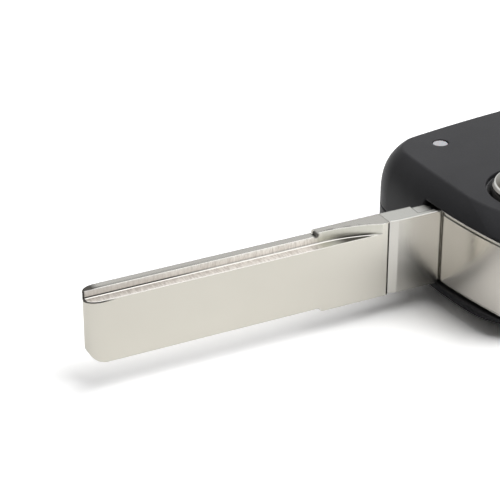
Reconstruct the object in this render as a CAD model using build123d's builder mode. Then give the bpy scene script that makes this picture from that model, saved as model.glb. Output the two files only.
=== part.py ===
from build123d import *
import math
import os

# Flip key remote shell, opened, in millimetres.
# The origin is on the hinge axis at the resting face: +Z is up, the opened blade
# points to -X, the housing's tail to +X and the folded blade lies along the -Y side.

# Housing: plan at the parting line
MID_Z = 7.7
NOSE_X = -11.65
NOSE_APEX_Y = 10.0
NOSE_RADIUS = 73.0
NEAR_Y = -9.9
FAR_APEX_Y = 25.2
FAR_APEX_X = 28.0
FAR_RADIUS = 192.0
FAR_CORNER_Y = 21.2
TAIL_X = 66.3
TAIL_CORNER_X = 61.0
NEAR_NOSE_ROUND = 4.2
NEAR_TOP_ROUND = 13.8
NEAR_ROUND_POWER = 4.0
FAR_NOSE_ROUND = 7.2
TAIL_ROUND = 12.0

# Housing: section, walls and edges
SIDE_DEPTH = 2.8
SIDE_POWER = 3.6
TOP_Z = 15.4
CROWN_RADIUS = 230.0
CROWN_CENTRE_Y = 7.5
WALL = 1.6
HOLLOW_DRAFT = 8.0
FLOOR_Z = 1.6
ROOF_Z = 13.6
TOP_EDGE_ROUND = 0.45
BASE_BEVEL = 0.5
PARTING_GROOVE = 0.1
PARTING_GROOVE_DEPTH = 0.25
LOFT_STEPS = 4
LOFT_SPARE = 0.3

# Hinge chamber and blade slot
CHAMBER_RADIUS = 11.25
CHAMBER_LOW_Z = 2.65
CHAMBER_HIGH_Z = 12.95
SLOT_LOW_Z = 2.5
SLOT_HIGH_Z = 13.25
SLOT_WALL = 1.3
JAMB_GAP = 0.45
SLOT_GAP = 0.4

# Blade
BLADE_WIDTH = 9.0
BLADE_THICKNESS = 2.6
BLADE_LOW_Z = 3.3
BLADE_REACH = 56.7
BLADE_FRONT_Y = 4.3
SHOULDER_FROM_TIP = 29.75
SEAM_X = -17.6
ROOT_LOW_Z = 2.8
ROOT_HIGH_Z = 12.72
TRACK_DEPTH = 1.45
TRACK_HEIGHT = 0.92
TRACK_CUTTER_RADIUS = 20.0
TIP_LOW_ROUND = 2.2
TIP_HIGH_ROUND = 1.2
TIP_TAPER_LENGTH = 2.0
TRACK_END_X = -18.6
SHOULDER_ROUND = 0.3

# Hub, tang and roll pin
HUB_LOW_Z = 2.9
HUB_HIGH_Z = 12.5
BARREL_RADIUS = 7.9
HUB_BORE_RADIUS = 4.8
ARM_BLOCK_END_X = -4.0
RAISED_END_X = -13.3
FACE_PLATE_END_X = -10.55
FACE_PLATE = 0.7
FACE_GROOVE = 0.35
SEAM_GAP = 0.06
SEAM_BEVEL = 1.2
SEAM_BEVEL_DEPTH = 0.25
FACE_CORNER_ROUND = 0.45
TANG_THICKNESS = 1.4
TANG_HEIGHT = 7.2
TANG_END_X = -7.0
TANG_GAP = 0.04
PIN_RADIUS = 0.8
PIN_GAP = 0.02
PIN_X = -8.2
PIN_START_Y = 2.8
PIN_END_INSET = 0.1

# Nose band
BAND_INSET = 1.15
BAND_LOW_Z = 3.2
BAND_HIGH_Z = 12.1
BAND_LIP_SETBACK = 0.08
BAND_THICKNESS = 0.8
BAND_START_Y = 4.55
BAND_END_X = 2.0
BAND_EDGE_ROUND = 0.25
BAND_SEAT_GAP = 0.03

# Release button, collar, spring and journal
BUTTON_RADIUS = 5.2
BUTTON_FLANGE_RADIUS = 6.1
BUTTON_FLANGE = 1.0
BUTTON_SHOULDER_Z = 15.95
BUTTON_TOP_Z = 16.6
BUTTON_BEVEL = 0.3
BUTTON_TRAVEL = 1.2
BUTTON_GAP = 0.15
FLANGE_ROOF_GAP = 0.08
COUNTERBORE_GAP = 0.25
COLLAR_RADIUS = 5.95
COLLAR_LOW_Z = 13.5
COLLAR_HIGH_Z = 14.85
COLLAR_RIM = 0.15
COLLAR_DISH = 0.7
COLLAR_FIT = 0.02
SPRING_RADIUS = 3.75
SPRING_WIRE = 0.7
SPRING_TURNS = 5
SPRING_WIDTH = 0.6
SPRING_LOW_Z = 3.4
SPRING_HIGH_Z = 13.9
SPRING_POCKET_RADIUS = 4.25
JOURNAL_GAP = 0.08
JOURNAL_TOP_Z = 4.6
WASHER_THICKNESS = 0.2
WASHER_RADIUS = 7.8

# Light window
LED_X = -3.25
LED_Y = 16.4
LED_RADIUS = 1.05
LED_FLANGE_RADIUS = 1.45
LED_GAP = 0.02
LED_FLANGE = 0.8
LED_SINK = 0.12
LED_EDGE = 0.1
LED_STEM_Z = 10.6

# Remote keys and their pad
KEY_CENTRE_Y = 7.7
KEY_XS = {"lock_button": 20.5, "unlock_button": 31.5, "trunk_button": 42.5}
KEY_LENGTH = 15.0
KEY_WIDTH = 9.4
KEY_TOP_Z = 15.85
KEY_GAP = 0.15
KEY_FLANGE_OVERHANG = 0.8
KEY_FLANGE = 0.7
KEY_ROOF_GAP = 0.08
KEY_BEVEL = 0.4
PAD_TOP_Z = 11.9
PAD_THICKNESS = 0.9
PAD_INSET = 0.3
DOME_RADIUS = 2.6
DOME_TOP_RADIUS = 1.7
DOME_KEY_GAP = 0.07

# Board tray and battery clips
TRAY_CENTRE_Y = 8.7
TRAY_LENGTH = 34.0
TRAY_WIDTH = 22.2
TRAY_CORNER = 2.5
TRAY_WALL = 0.9
TRAY_FLOOR = 1.0
CELL_RADIUS = 10.15
CELL_RING_HEIGHT = 3.2
CELL_RING_GAP = 9.0
CLIP_THICKNESS = 0.3
CLIP_WIDTH = 4.0
CLIP_SIDE_REACH = 4.2
CLIP_SIDE_HEIGHT = 4.6
CLIP_BASE_REACH = 9.0
CLIP_BASE_RISE = 0.9

# Transponder holder
CHIP_TRAY_GAP = 0.7
CHIP_Y = 16.2
CHIP_LENGTH = 8.6
CHIP_WIDTH = 5.2
CHIP_HEIGHT = 4.6
CHIP_WALL = 0.8
CHIP_CORNER = 1.0
CHIP_COVER = 0.8

# Case screws
SCREW_PLACES = ((3.6, 18.0), (53.3, 15.8))
SCREW_RADIUS = 1.0
SCREW_HEAD_RADIUS = 1.9
SCREW_TOP_Z = 12.2
SCREW_GAP = 0.12
SCREW_PILOT_GAP = 0.02
SCREW_SINK = 0.05
SCREW_DRIVE_RADIUS = 0.75
SCREW_DRIVE_DEPTH = 0.7
BOSS_RADIUS = 2.6

# Key-ring notch and pin
RING_NOTCH_X = 56.4
RING_NOTCH_WIDTH = 12.0
RING_NOTCH_Y = 4.6
RING_NOTCH_LOW_Z = 3.2
RING_NOTCH_HIGH_Z = 12.4
RING_NOTCH_ROUND = 2.0
RING_PIN_X = 62.4
RING_PIN_RADIUS = 1.25
RING_PIN_LOW_Z = 1.2
RING_PIN_HIGH_Z = 14.0
RING_PIN_GAP = 0.05
RING_PIN_CHAMFER = 0.2

# Worked out from the values above
HALF_RISE = max(MID_Z, TOP_Z - MID_Z) + LOFT_SPARE
BLADE_BACK_Y = BLADE_FRONT_Y + BLADE_THICKNESS
BLADE_MID_Y = BLADE_FRONT_Y + BLADE_THICKNESS / 2
BLADE_HIGH_Z = BLADE_LOW_Z + BLADE_WIDTH
BLADE_MID_Z = BLADE_LOW_Z + BLADE_WIDTH / 2
SHOULDER_X = SHOULDER_FROM_TIP - BLADE_REACH
JAMB_Y = BLADE_BACK_Y + JAMB_GAP
SLOT_INNER_Y = SLOT_GAP - BLADE_FRONT_Y
SLOT_END_X = BLADE_REACH + 2 * SLOT_GAP
COUNTERBORE_RADIUS = BUTTON_FLANGE_RADIUS + COUNTERBORE_GAP
FLANGE_HIGH_Z = CHAMBER_HIGH_Z - FLANGE_ROOF_GAP
FLANGE_LOW_Z = FLANGE_HIGH_Z - BUTTON_FLANGE
COUNTERBORE_LOW_Z = FLANGE_LOW_Z - BUTTON_TRAVEL - FLANGE_ROOF_GAP
KEY_FLANGE_HIGH_Z = ROOF_Z - KEY_ROOF_GAP
KEY_FLANGE_LOW_Z = KEY_FLANGE_HIGH_Z - KEY_FLANGE
KEY_MIDDLE_X = sum(KEY_XS.values()) / len(KEY_XS)
DOME_TOP_Z = KEY_FLANGE_LOW_Z - DOME_KEY_GAP
TRAY_FLOOR_Z = FLOOR_Z + TRAY_FLOOR
CHIP_X = KEY_MIDDLE_X - TRAY_LENGTH / 2 - CHIP_TRAY_GAP - CHIP_WIDTH / 2
CLIP_SIDE_X = KEY_MIDDLE_X - TRAY_LENGTH / 2 + TRAY_WALL
CLIP_BASE_X = KEY_MIDDLE_X + TRAY_LENGTH / 2 - TRAY_WALL
LEDGE_Z = BLADE_HIGH_Z - TRACK_HEIGHT
PAD_LOW_Z = PAD_TOP_Z - PAD_THICKNESS

os.makedirs("parts", exist_ok=True)


def nose_line_x(y):
    """The nose arc's X at a given Y."""
    drop = NOSE_RADIUS - math.sqrt(NOSE_RADIUS**2 - (y - NOSE_APEX_Y) ** 2)
    return NOSE_X + drop


def far_line_y(x):
    """The far side arc's Y at a given X."""
    drop = FAR_RADIUS - math.sqrt(FAR_RADIUS**2 - (x - FAR_APEX_X) ** 2)
    return FAR_APEX_Y - drop


def crown_z(y):
    """The height of the crowned top face at a given Y."""
    drop = CROWN_RADIUS - math.sqrt(CROWN_RADIUS**2 - (y - CROWN_CENTRE_Y) ** 2)
    return TOP_Z - drop


def dome_z(radius):
    """The height of the release button's spherical dome at a distance from its axis."""
    rise = BUTTON_TOP_Z - BUTTON_SHOULDER_Z
    sphere = (BUTTON_RADIUS**2 + rise**2) / (2 * rise)
    return BUTTON_TOP_Z - sphere + math.sqrt(sphere**2 - radius**2)


def side_inset(rise):
    """How far the bulging side has come in at a height above or below the parting line."""
    return SIDE_DEPTH * (rise / (TOP_Z - MID_Z)) ** SIDE_POWER


def near_corner_round(rise):
    """The radius of the nose's near corner, which grows quickly towards the top face."""
    growth = (rise / (TOP_Z - MID_Z)) ** NEAR_ROUND_POWER
    return NEAR_NOSE_ROUND + (NEAR_TOP_ROUND - NEAR_NOSE_ROUND) * growth


def housing_plan(inset, height, near_round=NEAR_NOSE_ROUND):
    """The housing's outline, moved in by the inset, as a face at a height."""
    near_nose = (nose_line_x(NEAR_Y), NEAR_Y)
    far_nose = (nose_line_x(FAR_CORNER_Y), FAR_CORNER_Y)
    far_tail = (TAIL_CORNER_X, far_line_y(TAIL_CORNER_X))
    near_tail = (TAIL_CORNER_X, NEAR_Y)
    tail_middle = (TAIL_X, (far_tail[1] + NEAR_Y) / 2)
    with BuildSketch(Plane.XY.offset(height)) as plan:
        with BuildLine():
            ThreePointArc(near_nose, (NOSE_X, NOSE_APEX_Y), far_nose)
            ThreePointArc(far_nose, (FAR_APEX_X, FAR_APEX_Y), far_tail)
            ThreePointArc(far_tail, tail_middle, near_tail)
            Line(near_tail, near_nose)
        make_face()
        fillet(plan.vertices().sort_by(Axis.X)[-2:], TAIL_ROUND)
        fillet(plan.vertices().sort_by_distance(near_nose)[0], near_round)
        fillet(plan.vertices().sort_by_distance(far_nose)[0], FAR_NOSE_ROUND)
        if inset > 0:
            offset(amount=-inset, mode=Mode.REPLACE)
    return plan.sketch


def half_form():
    """The bulging upper half of the housing, with its share of the parting groove."""
    rises = [HALF_RISE * step / LOFT_STEPS for step in range(LOFT_STEPS + 1)]
    with BuildPart() as form:
        loft(
            [
                housing_plan(side_inset(rise), MID_Z + rise, near_corner_round(rise))
                for rise in rises
            ]
        )
        extrude(
            housing_plan(0, MID_Z) - housing_plan(PARTING_GROOVE_DEPTH, MID_Z),
            amount=PARTING_GROOVE,
            mode=Mode.SUBTRACT,
        )
    return form.part


def slab(x_low, x_high, y_low, y_high, z_low, z_high):
    """A block between six given planes, kept apart from any part being built."""
    with BuildPart() as block:
        with BuildSketch(Plane.XY.offset(z_low)):
            with Locations(((x_low + x_high) / 2, (y_low + y_high) / 2)):
                Rectangle(x_high - x_low, y_high - y_low)
        extrude(amount=z_high - z_low)
    return block.part


def disc(x, y, radius, z_low, z_high):
    """An upright cylinder between two heights, kept apart from any part being built."""
    with BuildPart() as block:
        with BuildSketch(Plane.XY.offset(z_low)):
            with Locations((x, y)):
                Circle(radius)
        extrude(amount=z_high - z_low)
    return block.part


def chamber_walls(z_low, z_high):
    """The wall round the hinge chamber and along the blade slot, as a solid block."""
    with BuildPart() as walls:
        add(disc(0, 0, CHAMBER_RADIUS + SLOT_WALL, z_low, z_high))
        add(slab(NOSE_X - WALL, 0, NEAR_Y - WALL, JAMB_Y + SLOT_WALL, z_low, z_high))
        add(slab(0, SLOT_END_X + SLOT_WALL, NEAR_Y - WALL, SLOT_INNER_Y + SLOT_WALL, z_low, z_high))
    return walls.part


def swing_space(z_low, z_high):
    """The space that the turning hub needs: a round chamber open to the nose and near side."""
    with BuildPart() as space:
        add(disc(0, 0, CHAMBER_RADIUS, z_low, z_high))
        add(slab(NOSE_X - WALL, 0, NEAR_Y - WALL, JAMB_Y, z_low, z_high))
    return space.part


def slot_space(z_low, z_high):
    """The slot along the near side that takes the folded blade."""
    with BuildPart() as space:
        add(slab(0, SLOT_END_X, NEAR_Y - WALL, SLOT_INNER_Y, z_low, z_high))
        add(disc(0, 0, CHAMBER_RADIUS, z_low, z_high), mode=Mode.SUBTRACT)
    return space.part


def ring_notch():
    """The open notch in the tail that the key ring passes through."""
    with BuildPart() as notch:
        add(
            slab(
                RING_NOTCH_X,
                TAIL_X + WALL,
                RING_NOTCH_Y - RING_NOTCH_WIDTH / 2,
                RING_NOTCH_Y + RING_NOTCH_WIDTH / 2,
                RING_NOTCH_LOW_Z,
                RING_NOTCH_HIGH_Z,
            )
        )
        inner = notch.edges().filter_by(Axis.Z).group_by(Axis.X)[0]
        fillet(inner, RING_NOTCH_ROUND)
    return notch.part


def ring_notch_walls(z_low, z_high):
    """The housing's material round the key-ring notch."""
    half = RING_NOTCH_WIDTH / 2 + WALL
    return slab(
        RING_NOTCH_X - WALL, TAIL_X, RING_NOTCH_Y - half, RING_NOTCH_Y + half, z_low, z_high
    )


def inner_form(end_z):
    """The drafted hollow of one half of the housing, from the parting line to a height."""
    depth = end_z - MID_Z
    with BuildPart() as hollow:
        extrude(
            housing_plan(WALL, MID_Z),
            amount=abs(depth),
            dir=(0, 0, math.copysign(1, depth)),
            taper=HOLLOW_DRAFT,
        )
        z_low = min(MID_Z, end_z)
        z_high = max(MID_Z, end_z)
        add(chamber_walls(z_low, z_high), mode=Mode.SUBTRACT)
        add(ring_notch_walls(z_low, z_high), mode=Mode.SUBTRACT)
        for place in SCREW_PLACES:
            add(disc(*place, BOSS_RADIUS, z_low, z_high), mode=Mode.SUBTRACT)
    return hollow.part


def band_form(inset, z_low, z_high):
    """The hub's nose side: the housing's own outline moved in, between two heights."""
    with BuildPart() as form:
        extrude(housing_plan(inset, z_low), amount=z_high - z_low)
        add(
            slab(NOSE_X, BAND_END_X, NEAR_Y, BAND_START_Y, z_low, z_high),
            mode=Mode.INTERSECT,
        )
    return form.part


def band_start_x():
    """Where the band's outer face begins beside the arm."""
    return nose_line_x(BAND_START_Y) + BAND_INSET


def arm_form(end_x, depth, corner_round):
    """The arm from the seam's bevel to an end, whose upper corner may be rounded."""
    with BuildPart() as form:
        with BuildSketch(Plane.XY.offset(ROOT_LOW_Z)):
            with BuildLine():
                Polyline(
                    (SEAM_X, BLADE_FRONT_Y + SEAM_BEVEL_DEPTH),
                    (SEAM_X + SEAM_BEVEL, BLADE_FRONT_Y),
                    (end_x, BLADE_FRONT_Y),
                    (end_x, BLADE_FRONT_Y + depth),
                    (SEAM_X, BLADE_FRONT_Y + depth),
                    close=True,
                )
            make_face()
        extrude(amount=ROOT_HIGH_Z - ROOT_LOW_Z)
        if corner_round > 0:
            upper_end = form.edges().filter_by(Axis.Y).group_by(Axis.X)[-1].sort_by(Axis.Z)[-1]
            fillet(upper_end, corner_round)
    return form.part


def tang_form(gap):
    """The blade's tang, widened by a gap to make the slot that it fits."""
    half_height = TANG_HEIGHT / 2 + gap
    half_thickness = TANG_THICKNESS / 2 + gap
    return slab(
        SEAM_X - SEAM_GAP,
        TANG_END_X + gap,
        BLADE_MID_Y - half_thickness,
        BLADE_MID_Y + half_thickness,
        BLADE_MID_Z - half_height,
        BLADE_MID_Z + half_height,
    )


def roll_pin_form(radius, y_low, y_high):
    """A cylinder along the roll pin's axis, across the hub and the tang."""
    with BuildPart() as form:
        with BuildSketch(Plane.XZ.offset(-y_high)):
            with Locations((PIN_X, BLADE_MID_Z)):
                Circle(radius)
        extrude(amount=y_high - y_low)
    return form.part


def track_form():
    """The cutter's path for the upper front track, with its arc run-out into the root."""
    run = math.sqrt(TRACK_CUTTER_RADIUS**2 - (TRACK_CUTTER_RADIUS - TRACK_DEPTH) ** 2)
    floor_y = BLADE_FRONT_Y + TRACK_DEPTH
    arc_start_x = TRACK_END_X - run
    middle_run = run / 2
    middle_drop = TRACK_CUTTER_RADIUS - math.sqrt(TRACK_CUTTER_RADIUS**2 - middle_run**2)
    with BuildPart() as form:
        with BuildSketch(Plane.XY.offset(LEDGE_Z)):
            with BuildLine():
                Polyline(
                    (TRACK_END_X, BLADE_FRONT_Y),
                    (TRACK_END_X, BLADE_FRONT_Y - WALL),
                    (-BLADE_REACH - WALL, BLADE_FRONT_Y - WALL),
                    (-BLADE_REACH - WALL, floor_y),
                    (arc_start_x, floor_y),
                )
                ThreePointArc(
                    (arc_start_x, floor_y),
                    (arc_start_x + middle_run, floor_y - middle_drop),
                    (TRACK_END_X, BLADE_FRONT_Y),
                )
            make_face()
        extrude(amount=TOP_Z - LEDGE_Z)
    return form.part


def key_face(x, height, grow):
    """One remote key's rounded outline, as a sketch at a height."""
    with BuildSketch(Plane.XY.offset(height)) as outline:
        with Locations((x, KEY_CENTRE_Y)):
            SlotOverall(KEY_LENGTH + 2 * grow, KEY_WIDTH + 2 * grow, rotation=90)
    return outline.sketch


def chip_plan(height, inset):
    """The transponder box's rounded outline, moved in by the inset, at a height."""
    with BuildSketch(Plane.XY.offset(height)) as plan:
        with Locations((CHIP_X, CHIP_Y)):
            RectangleRounded(
                CHIP_WIDTH - 2 * inset, CHIP_LENGTH - 2 * inset, CHIP_CORNER - inset / 2
            )
    return plan.sketch


# Upper case: crowned top, hinge chamber roof, key holes and light window hole
with BuildPart() as upper_case:
    add(half_form())
    with BuildSketch(Plane.YZ.offset(NOSE_X - WALL)):
        with Locations((CROWN_CENTRE_Y, TOP_Z - CROWN_RADIUS)):
            Circle(CROWN_RADIUS)
    extrude(amount=TAIL_X - NOSE_X + 2 * WALL, mode=Mode.INTERSECT)
    crown_edges = upper_case.faces().sort_by(Axis.Z)[-1].outer_wire().edges()
    fillet(crown_edges, TOP_EDGE_ROUND)
    add(inner_form(ROOF_Z), mode=Mode.SUBTRACT)
    add(swing_space(MID_Z, CHAMBER_HIGH_Z), mode=Mode.SUBTRACT)
    add(slot_space(MID_Z, SLOT_HIGH_Z), mode=Mode.SUBTRACT)
    add(ring_notch(), mode=Mode.SUBTRACT)
    with Locations((0, 0, COLLAR_LOW_Z)):
        Cylinder(
            COLLAR_RADIUS,
            TOP_Z,
            align=(Align.CENTER, Align.CENTER, Align.MIN),
            mode=Mode.SUBTRACT,
        )
    with Locations((0, 0, CHAMBER_HIGH_Z)):
        Cylinder(
            BUTTON_RADIUS + BUTTON_GAP,
            TOP_Z,
            align=(Align.CENTER, Align.CENTER, Align.MIN),
            mode=Mode.SUBTRACT,
        )
    for key_x in KEY_XS.values():
        extrude(key_face(key_x, ROOF_Z, KEY_GAP), amount=TOP_Z, mode=Mode.SUBTRACT)
    with Locations((LED_X, LED_Y, ROOF_Z)):
        Cylinder(
            LED_RADIUS,
            TOP_Z,
            align=(Align.CENTER, Align.CENTER, Align.MIN),
            mode=Mode.SUBTRACT,
        )
    for place in SCREW_PLACES:
        add(
            disc(*place, SCREW_RADIUS + SCREW_PILOT_GAP, MID_Z, SCREW_TOP_Z + SCREW_GAP),
            mode=Mode.SUBTRACT,
        )
    add(
        disc(RING_PIN_X, RING_NOTCH_Y, RING_PIN_RADIUS + RING_PIN_GAP, MID_Z, RING_PIN_HIGH_Z),
        mode=Mode.SUBTRACT,
    )
upper_case.part.label = "upper_case"
export_step(upper_case.part, "parts/upper_case.step")

# Lower case: flat base, hinge journal with a spring pocket, screw and pin holes
with BuildPart() as lower_case:
    add(half_form().mirror(Plane.XY.offset(MID_Z)))
    add(
        slab(NOSE_X - WALL, TAIL_X + WALL, NEAR_Y - WALL, FAR_APEX_Y + WALL, 0, MID_Z),
        mode=Mode.INTERSECT,
    )
    base_edges = lower_case.faces().sort_by(Axis.Z)[0].outer_wire().edges()
    chamfer(base_edges, BASE_BEVEL)
    add(inner_form(FLOOR_Z), mode=Mode.SUBTRACT)
    add(swing_space(CHAMBER_LOW_Z, MID_Z), mode=Mode.SUBTRACT)
    add(slot_space(SLOT_LOW_Z, MID_Z), mode=Mode.SUBTRACT)
    add(ring_notch(), mode=Mode.SUBTRACT)
    add(disc(0, 0, HUB_BORE_RADIUS - JOURNAL_GAP, CHAMBER_LOW_Z, JOURNAL_TOP_Z))
    add(disc(0, 0, SPRING_POCKET_RADIUS, SPRING_LOW_Z, JOURNAL_TOP_Z), mode=Mode.SUBTRACT)
    for place in SCREW_PLACES:
        add(disc(*place, SCREW_RADIUS + SCREW_GAP, 0, MID_Z), mode=Mode.SUBTRACT)
        with Locations((*place, (SCREW_HEAD_RADIUS - SCREW_RADIUS) / 2)):
            Cone(
                SCREW_HEAD_RADIUS + SCREW_GAP,
                SCREW_RADIUS + SCREW_GAP,
                SCREW_HEAD_RADIUS - SCREW_RADIUS,
                mode=Mode.SUBTRACT,
            )
    add(
        disc(RING_PIN_X, RING_NOTCH_Y, RING_PIN_RADIUS + RING_PIN_GAP, RING_PIN_LOW_Z, MID_Z),
        mode=Mode.SUBTRACT,
    )
lower_case.part.label = "lower_case"
export_step(lower_case.part, "parts/lower_case.step")

# Light window: a clear pin held from inside by its flange
with BuildPart() as led_window:
    add(disc(LED_X, LED_Y, LED_RADIUS - LED_GAP, LED_STEM_Z, crown_z(LED_Y) - LED_SINK))
    add(disc(LED_X, LED_Y, LED_FLANGE_RADIUS, ROOF_Z - LED_FLANGE, ROOF_Z))
    top_rim = led_window.edges().filter_by(GeomType.CIRCLE).sort_by(Axis.Z)[-1]
    chamfer(top_rim, LED_EDGE)
led_window.part.label = "led_window"
export_step(led_window.part, "parts/led_window.step")

# Release collar: the glossy dish that the release button stands in
with BuildPart() as release_collar:
    with BuildSketch(Plane.XZ):
        with BuildLine():
            Polyline(
                (BUTTON_RADIUS + BUTTON_GAP, COLLAR_LOW_Z),
                (COLLAR_RADIUS - COLLAR_FIT, COLLAR_LOW_Z),
                (COLLAR_RADIUS - COLLAR_FIT, COLLAR_HIGH_Z),
                (COLLAR_RADIUS - COLLAR_RIM, COLLAR_HIGH_Z),
                (BUTTON_RADIUS + BUTTON_GAP, COLLAR_HIGH_Z - COLLAR_DISH),
                close=True,
            )
        make_face()
    revolve(axis=Axis.Z)
release_collar.part.label = "release_collar"
export_step(release_collar.part, "parts/release_collar.step")

# Release button: domed cap, retaining flange and a pocket for the spring
with BuildPart() as release_button:
    with BuildSketch(Plane.XZ):
        with BuildLine():
            Polyline(
                (0, BUTTON_TOP_Z),
                (0, SPRING_HIGH_Z),
                (SPRING_POCKET_RADIUS, SPRING_HIGH_Z),
                (SPRING_POCKET_RADIUS, FLANGE_LOW_Z),
                (BUTTON_FLANGE_RADIUS, FLANGE_LOW_Z),
                (BUTTON_FLANGE_RADIUS, FLANGE_HIGH_Z),
                (BUTTON_RADIUS, FLANGE_HIGH_Z),
                (BUTTON_RADIUS, BUTTON_SHOULDER_Z),
            )
            ThreePointArc(
                (BUTTON_RADIUS, BUTTON_SHOULDER_Z),
                (BUTTON_RADIUS / 2, dome_z(BUTTON_RADIUS / 2)),
                (0, BUTTON_TOP_Z),
            )
        make_face()
    revolve(axis=Axis.Z)
    rims = release_button.edges().filter_by(lambda edge: edge.is_closed)
    chamfer(rims.sort_by(Axis.Z)[-1], BUTTON_BEVEL)
release_button.part.label = "release_button"
export_step(release_button.part, "parts/release_button.step")

# Flip spring: a coil of flat wire between the journal's pocket and the button's pocket
with BuildPart() as flip_spring:
    coil_height = SPRING_HIGH_Z - SPRING_LOW_Z - SPRING_WIRE
    with BuildLine() as coil:
        Helix(
            pitch=coil_height / SPRING_TURNS,
            height=coil_height,
            radius=SPRING_RADIUS,
            center=(0, 0, SPRING_LOW_Z + SPRING_WIRE / 2),
        )
    with BuildSketch(Plane(origin=coil.line @ 0, x_dir=(1, 0, 0), z_dir=coil.line % 0)):
        Rectangle(SPRING_WIDTH, SPRING_WIRE)
    sweep(is_frenet=True)
flip_spring.part.label = "flip_spring"
export_step(flip_spring.part, "parts/flip_spring.step")

# Hub washer: the thin ring that the hub turns on
with BuildPart() as hub_washer:
    add(disc(0, 0, WASHER_RADIUS, CHAMBER_LOW_Z, CHAMBER_LOW_Z + WASHER_THICKNESS))
    add(
        disc(0, 0, HUB_BORE_RADIUS, CHAMBER_LOW_Z, CHAMBER_LOW_Z + WASHER_THICKNESS),
        mode=Mode.SUBTRACT,
    )
hub_washer.part.label = "hub_washer"
export_step(hub_washer.part, "parts/hub_washer.step")

# Flip hub: barrel, nose block and arm, with the tang slot and the roll pin's hole
with BuildPart() as flip_hub:
    add(disc(0, 0, BARREL_RADIUS, HUB_LOW_Z, HUB_HIGH_Z))
    add(band_form(BAND_INSET + BAND_THICKNESS + BAND_SEAT_GAP, HUB_LOW_Z, HUB_HIGH_Z))
    add(band_form(BAND_INSET + BAND_LIP_SETBACK, HUB_LOW_Z, BAND_LOW_Z - BAND_SEAT_GAP))
    add(band_form(BAND_INSET + BAND_LIP_SETBACK, BAND_HIGH_Z + BAND_SEAT_GAP, HUB_HIGH_Z))
    add(arm_form(RAISED_END_X, BLADE_THICKNESS, 0))
    add(arm_form(FACE_PLATE_END_X, FACE_PLATE, FACE_CORNER_ROUND))
    add(
        slab(
            RAISED_END_X,
            FACE_PLATE_END_X,
            BLADE_FRONT_Y + FACE_PLATE,
            BLADE_BACK_Y,
            HUB_LOW_Z,
            HUB_HIGH_Z,
        )
    )
    add(
        slab(
            FACE_PLATE_END_X,
            ARM_BLOCK_END_X,
            BLADE_FRONT_Y + FACE_GROOVE,
            BLADE_BACK_Y,
            HUB_LOW_Z,
            HUB_HIGH_Z,
        )
    )
    add(
        slab(
            band_start_x() + FACE_GROOVE,
            ARM_BLOCK_END_X,
            BAND_START_Y,
            BLADE_FRONT_Y + FACE_GROOVE,
            HUB_LOW_Z,
            HUB_HIGH_Z,
        )
    )
    add(tang_form(TANG_GAP), mode=Mode.SUBTRACT)
    add(roll_pin_form(PIN_RADIUS + PIN_GAP, PIN_START_Y, BLADE_BACK_Y + WALL), mode=Mode.SUBTRACT)
    add(disc(0, 0, HUB_BORE_RADIUS, HUB_LOW_Z, HUB_HIGH_Z), mode=Mode.SUBTRACT)
    add(disc(0, 0, COUNTERBORE_RADIUS, COUNTERBORE_LOW_Z, HUB_HIGH_Z), mode=Mode.SUBTRACT)
flip_hub.part.label = "flip_hub"
export_step(flip_hub.part, "parts/flip_hub.step")

# Nose band: the polished plate on the hub that closes the housing's nose
with BuildPart() as nose_band:
    add(band_form(BAND_INSET, BAND_LOW_Z, BAND_HIGH_Z))
    add(band_form(BAND_INSET + BAND_THICKNESS, BAND_LOW_Z, BAND_HIGH_Z), mode=Mode.SUBTRACT)
    start_edges = nose_band.faces().sort_by(Axis.Y)[-1].edges().sort_by(Axis.X)[0]
    fillet(start_edges, BAND_EDGE_ROUND)
nose_band.part.label = "nose_band"
export_step(nose_band.part, "parts/nose_band.step")

# Key blade: plain two-track blade with a root, shoulders and a tang for the hub
with BuildPart() as key_blade:
    with BuildSketch(Plane.XZ.offset(-BLADE_BACK_Y)) as side_view:
        with BuildLine():
            Polyline(
                (-BLADE_REACH, BLADE_LOW_Z),
                (-BLADE_REACH, BLADE_HIGH_Z),
                (SHOULDER_X, BLADE_HIGH_Z),
                (SHOULDER_X, ROOT_HIGH_Z),
                (SEAM_X - SEAM_GAP, ROOT_HIGH_Z),
                (SEAM_X - SEAM_GAP, ROOT_LOW_Z),
                (SHOULDER_X, ROOT_LOW_Z),
                (SHOULDER_X, BLADE_LOW_Z),
                close=True,
            )
        make_face()
        tip_corners = side_view.vertices().sort_by(Axis.X)[:2].sort_by(Axis.Y)
        fillet(tip_corners[0], TIP_LOW_ROUND)
        fillet(tip_corners[1], TIP_HIGH_ROUND)
        shoulders = side_view.vertices().group_by(Axis.Y)
        fillet([shoulders[0].sort_by(Axis.X)[0], shoulders[-1].sort_by(Axis.X)[0]], SHOULDER_ROUND)
    extrude(amount=BLADE_THICKNESS)
    with BuildSketch(Plane.XY):
        with Locations((TIP_TAPER_LENGTH - BLADE_REACH, BLADE_MID_Y)):
            Ellipse(TIP_TAPER_LENGTH, BLADE_THICKNESS / 2)
            Rectangle(BLADE_REACH, BLADE_THICKNESS, align=(Align.MIN, Align.CENTER))
    extrude(amount=TOP_Z, mode=Mode.INTERSECT)
    add(track_form(), mode=Mode.SUBTRACT)
    add(
        track_form().rotate(Axis((0, BLADE_MID_Y, BLADE_MID_Z), (1, 0, 0)), 180),
        mode=Mode.SUBTRACT,
    )
    add(tang_form(0))
    add(roll_pin_form(PIN_RADIUS + PIN_GAP, PIN_START_Y, BLADE_BACK_Y), mode=Mode.SUBTRACT)
key_blade.part.label = "key_blade"
export_step(key_blade.part, "parts/key_blade.step")

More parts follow.
